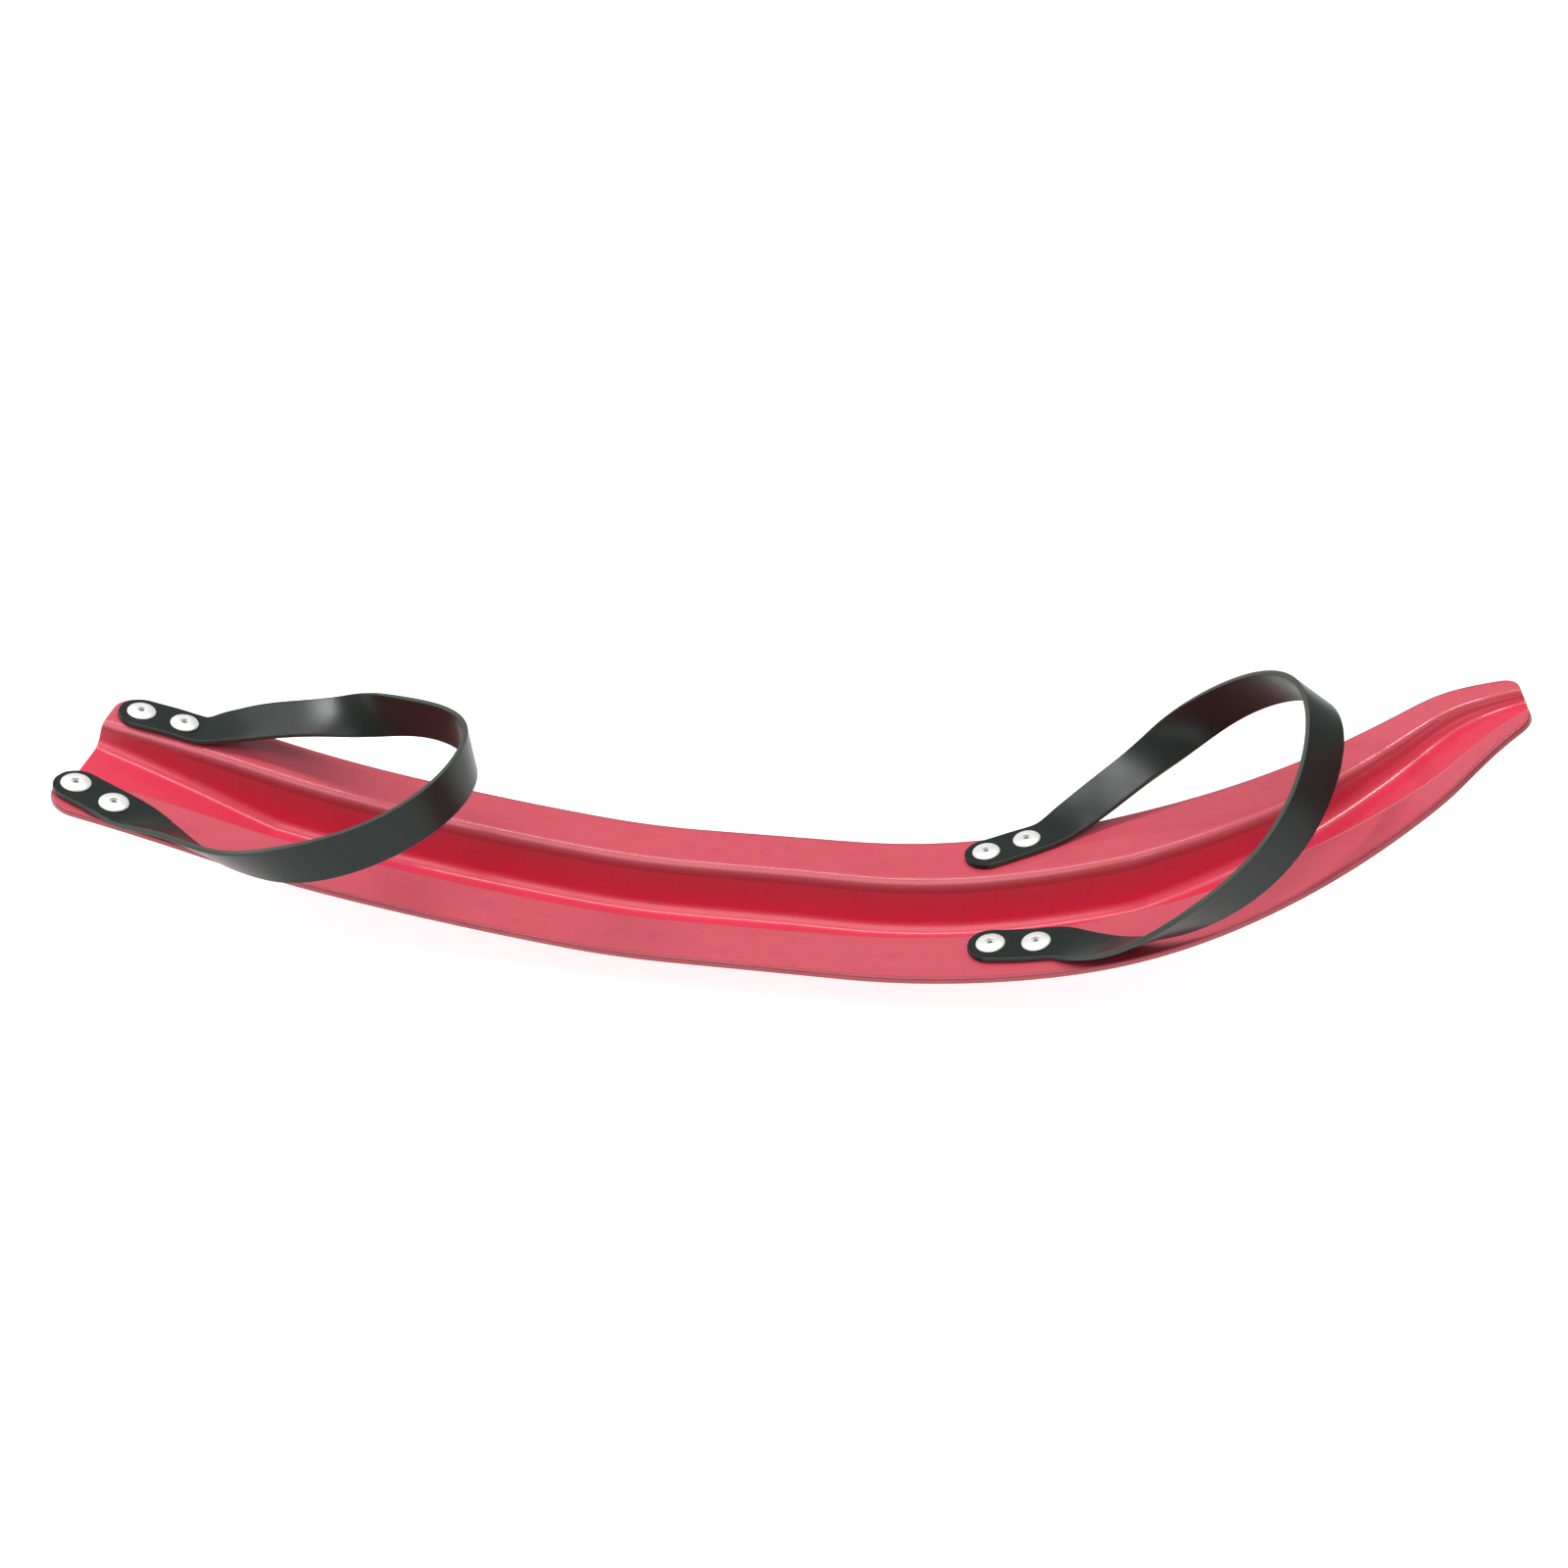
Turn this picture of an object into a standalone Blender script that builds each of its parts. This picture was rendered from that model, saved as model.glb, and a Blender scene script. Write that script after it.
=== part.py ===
"""Snowmobile ski skin: a one-piece moulded plastic shoe for a steel ski, with two riveted rubber straps.

The shoe is two flat flanges either side of a deep channel. It is bowed along its length, with a low tail and
an upturned, narrowed nose. Each strap is a flat rubber band whose two ends lie flat on the flanges, held by
two large-flange blind rivets each. Between them the band twists onto its edge and makes a forward loop, which
the ski slides through.

Frame: +X runs from tail to nose, +Y to the left, +Z up. The origin is on the underside of the channel, within
the flat stretch that the shoe stands on. Distances along the shoe are measured along its bowed
flange line, from that same point. Units are metres.
"""

import math

import bpy
import numpy as np
from mathutils import Matrix, Vector

MM = 0.001

# Shoe shell
WALL = 4.0 * MM
TAIL_REACH = 408 * MM
NOSE_REACH = 415 * MM
FLAT_BACK = 60 * MM
FLAT_FRONT = 30 * MM

# Widths over both flanges, and where those between the ends are measured
TAIL_WIDTH = 116 * MM
QUARTER_WIDTH = 120.5 * MM
QUARTER_AT = -200 * MM
MID_WIDTH = 124 * MM
FRONT_WIDTH = 128.5 * MM
FRONT_AT = 100 * MM
SHOULDER_WIDTH = 133 * MM
SHOULDER_AT = 190 * MM
NOSE_WIDTH = 40 * MM

# The taper from the shoulder to the nose: distance back from the nose end, width there
NOSE_TAPER = ((127 * MM, 114 * MM), (66 * MM, 94 * MM), (43 * MM, 82 * MM), (22 * MM, 62 * MM))
TAIL_CORNER_RADIUS = 17 * MM
NOSE_CORNER_RADIUS = 7 * MM

# Flat width of one flange, from its outer edge to where the channel's shoulder begins
TAIL_FLANGE = 28 * MM
MID_FLANGE = 31 * MM
SHOULDER_FLANGE = 38 * MM
TAPER_FLANGE = 30 * MM
NOSE_FLANGE = 9 * MM

# Channel between the flanges
TAIL_DEPTH = 13 * MM
CHANNEL_DEPTH = 28 * MM
NOSE_DEPTH = 6 * MM
TAIL_RAMP = 110 * MM
NOSE_RAMP = 230 * MM
CHANNEL_SHOULDER_RADIUS = 7 * MM
CHANNEL_FLOOR_RADIUS = 8 * MM
CHANNEL_WALL_ANGLE = math.radians(72)
FULL_RADIUS_DEPTH = 14 * MM

# The bow of the flange line: how far beyond the flat part each bend lies, and the slope reached there, degrees
TAIL_BENDS = ((60 * MM, -7.0), (180 * MM, -11.0), (260 * MM, -17.0), (348 * MM, -13.0))
NOSE_BENDS = ((70 * MM, 10.5), (130 * MM, 18.5), (210 * MM, 30.5), (290 * MM, 42.5), (340 * MM, 48.5),
              (385 * MM, 30.0))

# Rubber straps
STRAP_WIDTH = 25.4 * MM
STRAP_THICKNESS = 3.0 * MM
BLUNT_TIP = math.radians(12)

# Large-flange blind rivets, their mandrels and their backing washers
RIVET_PITCH = 25 * MM
RIVET_SHANK = 4.8 * MM
RIVET_BORE = 3.0 * MM
RIVET_HEAD = 16 * MM
RIVET_HEAD_HEIGHT = 2.2 * MM
RIVET_HEAD_CROWN = 7.2 * MM
RIVET_HEAD_FALL = 0.5 * MM
RIVET_HEAD_FALL_AT = 12.5 * MM
RIVET_HEAD_RIM = 0.65 * MM
RIVET_DIMPLE = 5.1 * MM
RIVET_DIMPLE_DEPTH = 0.15 * MM
RIVET_MOUTH_DEPTH = 0.4 * MM
RIVET_SET_WIDTH = 7.2 * MM
RIVET_SET_LENGTH = 4.6 * MM
RIVET_SET_SEAT = 6.5 * MM
RIVET_SET_WIDEST = 1.6 * MM
MANDREL_SHAFT = 2.3 * MM
MANDREL_HEAD = 4.4 * MM
MANDREL_HEAD_LENGTH = 2.6 * MM
MANDREL_HEAD_TIP = 2.6 * MM
MANDREL_RECESS = 0.9 * MM
WASHER_WIDTH = 12 * MM
WASHER_THICKNESS = 1.2 * MM

# Clearances
SEAT_GAP = 0.3 * MM
HOLE_CLEARANCE = 0.7 * MM
FLEX_GAP = 0.5 * MM
FLEX_BEHIND_HEAD = 1.0 * MM
FLEX_STUB = 6.5 * MM
HINGE_RISE = 6.0 * MM
FLAT_AHEAD_OF_RIVET = 10 * MM

# Each strap end: the first rivet's distance from its reference edge along the shoe and from the flange's
# centre line (outward is plus), and how far the end is turned outward.
# Rear ends are measured forward from the tail edge, front ends backward from the shoulder.
REAR_ENDS = {"near": (11 * MM, -6.0 * MM, math.radians(17)), "far": (17 * MM, -4.0 * MM, math.radians(2))}
FRONT_ENDS = {"near": (78 * MM, -7.4 * MM, math.radians(6)), "far": (82 * MM, -0.8 * MM, math.radians(20))}

# Each loop, from the near side round to the far side: forward of the flex line, share of the half distance
# between the strap's two ends, clearance of the band's lower edge over the flange line under it; then the way
# the band's upper edge points
FRONT_LOOP = (
    ((18.5 * MM, -1.23, 1.4 * MM), (-0.40, -0.95, 0.07)),
    ((64.5 * MM, -1.53, 7.3 * MM), (-0.57, -0.53, 0.53)),
    ((110 * MM, -1.16, 24.2 * MM), (-0.67, -0.21, 0.75)),
    ((123 * MM, 0.15, 54.1 * MM), (-0.79, -0.04, 0.52)),
    ((85.5 * MM, 1.16, 41.5 * MM), (-0.74, -0.02, 0.79)),
    ((46.5 * MM, 1.35, 20.5 * MM), (-0.37, 0.72, 0.19)),
    ((12 * MM, 1.14, 3.2 * MM), (-0.47, 0.91, 0.17)),
)
REAR_LOOP = (
    ((29.5 * MM, -1.43, 5 * MM), (-0.45, -0.76, 0.79)),
    ((75.5 * MM, -1.99, 23.7 * MM), (-0.41, -0.22, 0.52)),
    ((154.5 * MM, -1.42, 50.4 * MM), (-0.26, -0.06, 1.06)),
    ((173 * MM, 0.07, 62.5 * MM), (-0.20, 0.21, 0.92)),
    ((121.5 * MM, 0.95, 43.4 * MM), (-0.11, -0.02, 0.92)),
    ((66 * MM, 1.24, 23.5 * MM), (0.03, 0.93, 0.38)),
    ((20 * MM, 1.11, 7.7 * MM), (-0.36, 0.84, 0.21)),
)

# How finely the curved pieces are divided
KEEL_STEP = 0.5 * MM
SHELL_STEP = 14 * MM
ARC_STEPS = 4
CORNER_STEPS = 5
STRAP_STEP = 6 * MM
ROUND_STEPS = 16
CUTTER_REACH = 12 * MM


def spline(knots, values, at):
    """Natural cubic spline through (knots, values), read at the given places."""
    knots, values, at = np.asarray(knots, float), np.asarray(values, float), np.asarray(at, float)
    gaps = np.diff(knots)
    count = len(knots)
    system, right = np.eye(count), np.zeros_like(values)
    for i in range(1, count - 1):
        system[i, i - 1:i + 2] = gaps[i - 1], 2 * (gaps[i - 1] + gaps[i]), gaps[i]
        rise = (values[i + 1] - values[i]) / gaps[i] - (values[i] - values[i - 1]) / gaps[i - 1]
        right[i] = 6 * rise
    bend = np.linalg.solve(system, right)
    k = np.clip(np.searchsorted(knots, at) - 1, 0, count - 2)
    gap = gaps[k]
    b = (at - knots[k]) / gap
    a = 1 - b
    if values.ndim == 2:
        a, b, gap = a[..., None], b[..., None], gap[..., None]
    return a * values[k] + b * values[k + 1] + ((a**3 - a) * bend[k] + (b**3 - b) * bend[k + 1]) * gap**2 / 6


def keel_line():
    """The bowed flange line: distance along it, X, Z and slope, in small steps."""
    bends = [(-FLAT_BACK - reach, slope) for reach, slope in reversed(TAIL_BENDS)]
    bends += [(-FLAT_BACK, 0.0), (FLAT_FRONT, 0.0)]
    bends += [(FLAT_FRONT + reach, slope) for reach, slope in NOSE_BENDS]
    along = np.arange(-TAIL_REACH, NOSE_REACH + KEEL_STEP, KEEL_STEP)
    slope = np.radians(np.interp(along, *zip(*bends)))
    middle = (slope[1:] + slope[:-1]) / 2
    x = np.concatenate([[0], np.cumsum(KEEL_STEP * np.cos(middle))])
    z = np.concatenate([[0], np.cumsum(KEEL_STEP * np.sin(middle))])
    x -= np.interp(0, along, x)
    z += CHANNEL_DEPTH + WALL - np.interp(0, along, z)
    return along, x, z, slope


KEEL = keel_line()


def slope_at(s):
    return np.interp(s, KEEL[0], KEEL[3])


def on_flange(s, y, lift):
    """World points on the flange plane at distance s along the shoe, raised by lift along its normal."""
    s, y = np.asarray(s, float), np.asarray(y, float)
    slope = slope_at(s)
    x = np.interp(s, KEEL[0], KEEL[1]) - np.sin(slope) * lift
    z = np.interp(s, KEEL[0], KEEL[2]) + np.cos(slope) * lift
    return np.stack([x, y + 0 * s, z], -1)


def half_width(s):
    """Half of the width over both flanges, before the corners are rounded."""
    stations = [(-TAIL_REACH, TAIL_WIDTH), (QUARTER_AT, QUARTER_WIDTH), (0, MID_WIDTH)]
    stations += [(FRONT_AT, FRONT_WIDTH), (SHOULDER_AT, SHOULDER_WIDTH)]
    stations += [(NOSE_REACH - back, width) for back, width in NOSE_TAPER]
    stations += [(NOSE_REACH, NOSE_WIDTH)]
    return spline(*zip(*stations), s) / 2


def flange_width(s):
    """Flat width of one flange, from its edge to the channel's shoulder."""
    stations = [(-TAIL_REACH, TAIL_FLANGE), (0, MID_FLANGE), (SHOULDER_AT, SHOULDER_FLANGE)]
    stations += [(NOSE_REACH - NOSE_TAPER[0][0], TAPER_FLANGE), (NOSE_REACH, NOSE_FLANGE)]
    return np.interp(s, *zip(*stations))


def channel_depth(s):
    stations = [(-TAIL_REACH, TAIL_DEPTH), (-TAIL_REACH + TAIL_RAMP, CHANNEL_DEPTH)]
    stations += [(NOSE_REACH - NOSE_RAMP, CHANNEL_DEPTH), (NOSE_REACH, NOSE_DEPTH)]
    return np.interp(s, *zip(*stations))


def rounded_end(distance, radius):
    """How much narrower a rounded end is at this distance from its tip."""
    return radius - math.sqrt(max(0.0, radius**2 - max(0.0, radius - distance) ** 2))


def half_section(s):
    """Upper surface of one side at s, from the flange edge in to the channel's middle: (y, height) pairs."""
    width, flange, depth = float(half_width(s)), float(flange_width(s)), float(channel_depth(s))
    opening = width - flange
    edge = width - rounded_end(s + TAIL_REACH, TAIL_CORNER_RADIUS)
    edge -= rounded_end(NOSE_REACH - s, NOSE_CORNER_RADIUS)
    share = min(1.0, depth / FULL_RADIUS_DEPTH)
    shoulder, floor = share * CHANNEL_SHOULDER_RADIUS, share * CHANNEL_FLOOR_RADIUS
    lean = CHANNEL_WALL_ANGLE
    run = (depth - (shoulder + floor) * (1 - math.cos(lean))) / math.sin(lean)
    points = [(edge, 0.0)]
    for turn in np.linspace(0, lean, ARC_STEPS + 1):
        points.append((opening - shoulder * math.sin(turn), -shoulder * (1 - math.cos(turn))))
    y, height = points[-1]
    y, height = y - run * math.cos(lean), height - run * math.sin(lean)
    centre = (y - floor * math.sin(lean), height + floor * math.cos(lean))
    for turn in np.linspace(lean, 0, ARC_STEPS + 1):
        points.append((centre[0] + floor * math.sin(turn), centre[1] - floor * math.cos(turn)))
    points.append((0.0, -depth))
    return points


def new_collection(name):
    collection = bpy.data.collections.new(name)
    bpy.context.scene.collection.children.link(collection)
    return collection


def material(name, colour, roughness, metallic=0.0):
    result = bpy.data.materials.new(name)
    result.use_nodes = True
    shader = result.node_tree.nodes["Principled BSDF"]
    shader.inputs["Base Color"].default_value = (*colour, 1)
    shader.inputs["Roughness"].default_value = roughness
    shader.inputs["Metallic"].default_value = metallic
    return result


def grid_object(name, rows, collection, look):
    """An open surface through equal rows of points."""
    rows = np.asarray(rows, float)
    across = rows.shape[1]
    faces = []
    for i in range(rows.shape[0] - 1):
        for j in range(across - 1):
            corner = i * across + j
            faces.append((corner, corner + 1, corner + across + 1, corner + across))
    mesh = bpy.data.meshes.new(name)
    mesh.from_pydata(rows.reshape(-1, 3).tolist(), [], faces)
    mesh.materials.append(look)
    obj = bpy.data.objects.new(name, mesh)
    collection.objects.link(obj)
    return obj


def thicken(obj, thickness, offset):
    solidify = obj.modifiers.new("Thickness", "SOLIDIFY")
    solidify.thickness = thickness
    solidify.offset = offset
    solidify.use_even_offset = True


def cut(obj, cutter):
    boolean = obj.modifiers.new("Cut " + cutter.name, "BOOLEAN")
    boolean.operation = "DIFFERENCE"
    boolean.object = cutter
    boolean.solver = "EXACT"


def smooth(obj):
    obj.data.shade_smooth()
    obj.data.set_sharp_from_angle(angle=math.radians(35))


def turned(name, profile, steps, collection, look):
    """A body turned about Z from a closed profile of (radius, height) pairs, listed top to bottom outside."""
    count = len(profile)
    mesh = bpy.data.meshes.new(name)
    mesh.from_pydata([(r, 0, z) for r, z in profile], [(i, (i + 1) % count) for i in range(count)], [])
    mesh.materials.append(look)
    obj = bpy.data.objects.new(name, mesh)
    collection.objects.link(obj)
    screw = obj.modifiers.new("Turned", "SCREW")
    screw.steps = steps
    screw.render_steps = steps
    screw.use_merge_vertices = True
    screw.merge_threshold = 0.00001
    screw.use_smooth_shade = True
    return obj


def build_shoe(collection, look):
    """The shell: the upper surface of one side, mirrored, then thickened downward by the wall."""
    tail = [-TAIL_REACH + TAIL_CORNER_RADIUS * (1 - math.cos(turn))
            for turn in np.linspace(0, math.pi / 2, CORNER_STEPS)]
    nose = [NOSE_REACH - NOSE_CORNER_RADIUS * (1 - math.cos(turn))
            for turn in np.linspace(math.pi / 2, 0, CORNER_STEPS)]
    marks = [tail[-1], -FLAT_BACK, FLAT_FRONT, nose[0]]
    stations = list(tail)
    for start, end in zip(marks, marks[1:]):
        steps = max(1, round((end - start) / SHELL_STEP))
        stations += list(np.linspace(start, end, steps + 1))[1:]
    stations += nose[1:]
    rows = []
    for s in stations:
        row = [on_flange(s, y, height) for y, height in half_section(s)]
        rows.append(row)
    shoe = grid_object("ski_skin", rows, collection, look)
    mirror = shoe.modifiers.new("Other side", "MIRROR")
    mirror.use_axis = (False, True, False)
    mirror.merge_threshold = 0.00001
    thicken(shoe, WALL, -1.0)
    smooth(shoe)
    return shoe


def strap_end(side, first, outward_by, turn):
    """A strap end's first rivet, the band's own direction and its outer side, as (s, y) pairs."""
    sign = -1 if side == "near" else 1
    flange_middle = float(half_width(first)) - float(flange_width(first)) / 2
    start = np.array([first, sign * (flange_middle + outward_by)])
    way = np.array([math.cos(turn), sign * math.sin(turn)])
    out = np.array([-math.sin(turn), sign * math.cos(turn)])
    return {"start": start, "way": way, "out": out}


def on_strap_end(end, distance, lift, aside=0.0):
    """A point of a strap end: so far along the band from its first rivet, and so far toward its outer edge."""
    s, y = end["start"] + distance * end["way"] + aside * end["out"]
    return on_flange(s, y, lift)


def outward(end, distance):
    """The way the band's outer edge lies, here, in the flange plane."""
    across = on_strap_end(end, distance, 0.0, MM) - on_strap_end(end, distance, 0.0, -MM)
    return across / np.linalg.norm(across)


def flex_place(ends):
    """Where the band is first free to bend: just ahead of the heads of its forward rivets."""
    reach = RIVET_HEAD / 2 + FLEX_BEHIND_HEAD
    return max(float(end["start"][0] + RIVET_PITCH * end["way"][0]) for end in ends.values()) + reach


def band_route(ends, loop):
    """Knots of the whole band's centre line and upper-edge direction, from the near end round to the far end."""
    lift = SEAT_GAP + STRAP_THICKNESS / 2
    flex_x = float(on_flange(flex_place(ends), 0.0, 0.0)[0])
    near_y, far_y = (float(on_strap_end(ends[side], RIVET_PITCH * 1.5, lift)[1]) for side in ("near", "far"))
    middle, half = (near_y + far_y) / 2, (far_y - near_y) / 2
    flat = (-STRAP_WIDTH / 2, 0.0, RIVET_PITCH, RIVET_PITCH + FLAT_AHEAD_OF_RIVET)
    points = [on_strap_end(ends["near"], place, lift) for place in flat]
    across = [outward(ends["near"], place) for place in flat]
    for (forward, spread, clear), way in loop:
        edge = np.array(way) / np.linalg.norm(way)
        lower_x = flex_x + forward - STRAP_WIDTH / 2 * edge[0]
        height = float(np.interp(lower_x, KEEL[1], KEEL[2])) + clear + STRAP_WIDTH / 2 * edge[2]
        points.append(np.array([flex_x + forward, middle + spread * half, height]))
        across.append(np.array(way))
    points += [on_strap_end(ends["far"], place, lift) for place in reversed(flat)]
    across += [outward(ends["far"], place) for place in reversed(flat)]
    points = np.array(points)
    knots = np.concatenate([[0], np.cumsum(np.linalg.norm(np.diff(points, axis=0), axis=1))])
    return knots, points, np.array(across)


def band_frames(route, at):
    """The band's centre line and its unit edge direction, square to the line, at these places along it."""
    knots, points, across = route
    line = spline(knots, points, at)
    way = spline(knots, points, at + KEEL_STEP) - spline(knots, points, at - KEEL_STEP)
    way /= np.linalg.norm(way, axis=1)[:, None]
    edge = spline(knots, across, at)
    edge -= way * np.sum(edge * way, axis=1)[:, None]
    edge /= np.linalg.norm(edge, axis=1)[:, None]
    return line, edge


def band_piece(name, route, at, half, collection, look):
    """A stretch of the band: three points across at each place, thickened both ways."""
    line, edge = band_frames(route, at)
    rows = [(p - w * e, p, p + w * e) for p, e, w in zip(line, edge, half)]
    band = grid_object(name, rows, collection, look)
    thicken(band, STRAP_THICKNESS, 0.0)
    smooth(band)
    return band


def even_places(start, end):
    return np.linspace(start, end, max(2, round((end - start) / STRAP_STEP)) + 1)


def free_stretch(route, limit):
    """Where along the band it passes the flex line's stub, at the near side and at the far side."""
    at = np.arange(0, route[0][-1], KEEL_STEP)
    beyond = np.where(spline(route[0], route[1], at)[:, 0] >= limit)[0]
    return float(at[beyond[0]]), float(at[beyond[-1]])


def build_band(label, ends, loop, collection, look):
    """The band in three pieces: two riveted ends, and the free loop with its origin on its hinge axis.

    The axis runs across the shoe at the flex line, a little above the band. All of the band at the cut lies
    below it, so the loop's cut faces swing forward, clear of the ends, as the loop lifts.
    """
    route = band_route(ends, loop)
    length = float(route[0][-1])
    limit = float(on_flange(flex_place(ends) + FLEX_STUB, 0.0, 0.0)[0])
    near, far = free_stretch(route, limit)
    places = even_places(near, far)
    radius = STRAP_WIDTH / 2
    free = band_piece(f"{label}_strap_loop", route, places, np.full(len(places), radius), collection, look)
    hinge = Vector(on_flange(flex_place(ends), 0.0, SEAT_GAP + STRAP_THICKNESS / 2 + HINGE_RISE))
    free.data.transform(Matrix.Translation(-hinge))
    free.location = hinge
    tip = radius * (1 - np.cos(np.linspace(BLUNT_TIP, math.pi / 2, CORNER_STEPS)))
    fastened = {}
    for side, reach in (("near", near - FLEX_GAP), ("far", length - far - FLEX_GAP)):
        back = np.concatenate([tip, even_places(radius, reach)[1:]])
        half = np.sqrt(radius**2 - np.maximum(0.0, radius - back) ** 2)
        if side == "far":
            back, half = length - back[::-1], half[::-1]
        fastened[side] = band_piece(f"{label}_strap_{side}_end", route, back, half, collection, look)
    return fastened


def fastener_frame(end, distance):
    """Where a rivet stands: on the flange, along its normal."""
    s = float((end["start"] + distance * end["way"])[0])
    place = Vector(on_strap_end(end, distance, 0.0))
    return Matrix.Translation(place) @ Matrix.Rotation(-float(slope_at(s)), 4, "Y")


def rivet_heights():
    """Heights above the flange: the head's seat and top, the washer's top, and the set end's top and bottom."""
    seat = SEAT_GAP + STRAP_THICKNESS + SEAT_GAP
    washer_top = -WALL - SEAT_GAP
    set_top = washer_top - WASHER_THICKNESS - SEAT_GAP
    return seat, seat + RIVET_HEAD_HEIGHT, washer_top, set_top, set_top - RIVET_SET_LENGTH


def build_rivet(name, frame, collection, look):
    """A set blind rivet: wide domed head, hollow shank and the swollen end behind the washer."""
    seat, top, _, set_top, end = rivet_heights()
    head, shank, bore, swell = RIVET_HEAD / 2, RIVET_SHANK / 2, RIVET_BORE / 2, RIVET_SET_WIDTH / 2
    profile = [
        (bore, top - RIVET_MOUTH_DEPTH), (RIVET_DIMPLE / 2, top - RIVET_DIMPLE_DEPTH),
        (RIVET_HEAD_CROWN / 2, top),
        (RIVET_HEAD_FALL_AT / 2, top - RIVET_HEAD_FALL), (head, seat + RIVET_HEAD_RIM),
        (head, seat), (shank, seat), (shank, set_top), (RIVET_SET_SEAT / 2, set_top),
        (swell, set_top - RIVET_SET_WIDEST), (shank, end), (bore, end),
    ]
    rivet = turned(name, profile, ROUND_STEPS, collection, look)
    rivet.matrix_world = frame


def build_mandrel(name, frame, collection, look):
    """The broken-off mandrel stub inside the rivet, with its ball head behind the set end."""
    _, top, _, _, end = rivet_heights()
    shaft, head = MANDREL_SHAFT / 2, MANDREL_HEAD / 2
    shoulder = end - SEAT_GAP
    profile = [
        (0, top - MANDREL_RECESS), (shaft, top - MANDREL_RECESS), (shaft, shoulder), (head, shoulder),
        (head, shoulder - MANDREL_HEAD_LENGTH / 2), (MANDREL_HEAD_TIP / 2, shoulder - MANDREL_HEAD_LENGTH),
        (0, shoulder - MANDREL_HEAD_LENGTH),
    ]
    mandrel = turned(name, profile, ROUND_STEPS, collection, look)
    mandrel.matrix_world = frame


def build_washer(name, frame, collection, look):
    """The backing washer that spreads the rivet's pull under the plastic flange."""
    _, _, top, _, _ = rivet_heights()
    hole = (RIVET_SHANK + HOLE_CLEARANCE) / 2
    outer, bottom = WASHER_WIDTH / 2, top - WASHER_THICKNESS
    profile = [(hole, top), (outer, top), (outer, bottom), (hole, bottom)]
    washer = turned(name, profile, ROUND_STEPS, collection, look)
    washer.matrix_world = frame


def hole_cutter(name, frame, cutters):
    bpy.ops.mesh.primitive_cylinder_add(
        vertices=ROUND_STEPS, radius=(RIVET_SHANK + HOLE_CLEARANCE) / 2, depth=2 * CUTTER_REACH)
    cutter = bpy.context.object
    cutter.name = name
    cutter.matrix_world = frame
    for collection in list(cutter.users_collection):
        collection.objects.unlink(cutter)
    cutters.objects.link(cutter)
    cutter.hide_render = True
    cutter.display_type = "WIRE"
    return cutter


def build_strap(label, ends, loop, shoe, parts, cutters, looks):
    """One strap: its two riveted ends, its free loop, and the four rivets with their mandrels and washers."""
    fastened = build_band(label, ends, loop, parts, looks["rubber"])
    for side, band in fastened.items():
        end = ends[side]
        for order, distance in (("back", 0.0), ("front", RIVET_PITCH)):
            frame = fastener_frame(end, distance)
            tag = f"{label}_{side}_{order}"
            cutter = hole_cutter(f"hole_{tag}", frame, cutters)
            cut(shoe, cutter)
            cut(band, cutter)
            build_rivet(f"rivet_{tag}", frame, parts, looks["rivet"])
            build_mandrel(f"mandrel_{tag}", frame, parts, looks["mandrel"])
            build_washer(f"washer_{tag}", frame, parts, looks["washer"])


def main():
    for old in list(bpy.data.objects):
        bpy.data.objects.remove(old, do_unlink=True)
    parts = new_collection("ski_skin_assembly")
    cutters = new_collection("cutters")
    cutters.hide_render = True
    looks = {
        "plastic": material("red_plastic", (0.62, 0.03, 0.06), 0.42),
        "rubber": material("black_rubber", (0.02, 0.025, 0.022), 0.5),
        "rivet": material("bright_aluminium", (0.86, 0.86, 0.84), 0.35, 1.0),
        "mandrel": material("grey_steel", (0.35, 0.35, 0.35), 0.45, 1.0),
        "washer": material("zinc_washer", (0.6, 0.61, 0.62), 0.4, 1.0),
    }
    shoe = build_shoe(parts, looks["plastic"])
    rear = {side: strap_end(side, -TAIL_REACH + first, outward_by, turn)
            for side, (first, outward_by, turn) in REAR_ENDS.items()}
    front = {side: strap_end(side, SHOULDER_AT - first, outward_by, turn)
             for side, (first, outward_by, turn) in FRONT_ENDS.items()}
    build_strap("rear", rear, REAR_LOOP, shoe, parts, cutters, looks)
    build_strap("front", front, FRONT_LOOP, shoe, parts, cutters, looks)


main()
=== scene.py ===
# %% [markdown]
# # A snowmobile ski skin
#
# A ski skin is a bowed plastic shoe that goes under a steel ski. Two rubber straps hold it on. Each strap is
# one flat band, riveted by its two ends to the shoe's flanges, and it stands up in a loop for the ski.
#
# The solid model is loaded first as a fixed frame. It has the true sizes, and everything made here lies
# around it. Lengths are in metres, and MM makes the drawing's millimetres readable.

# %% Load the frame
import math

import bpy
import numpy as np
from mathutils import Matrix


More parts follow.
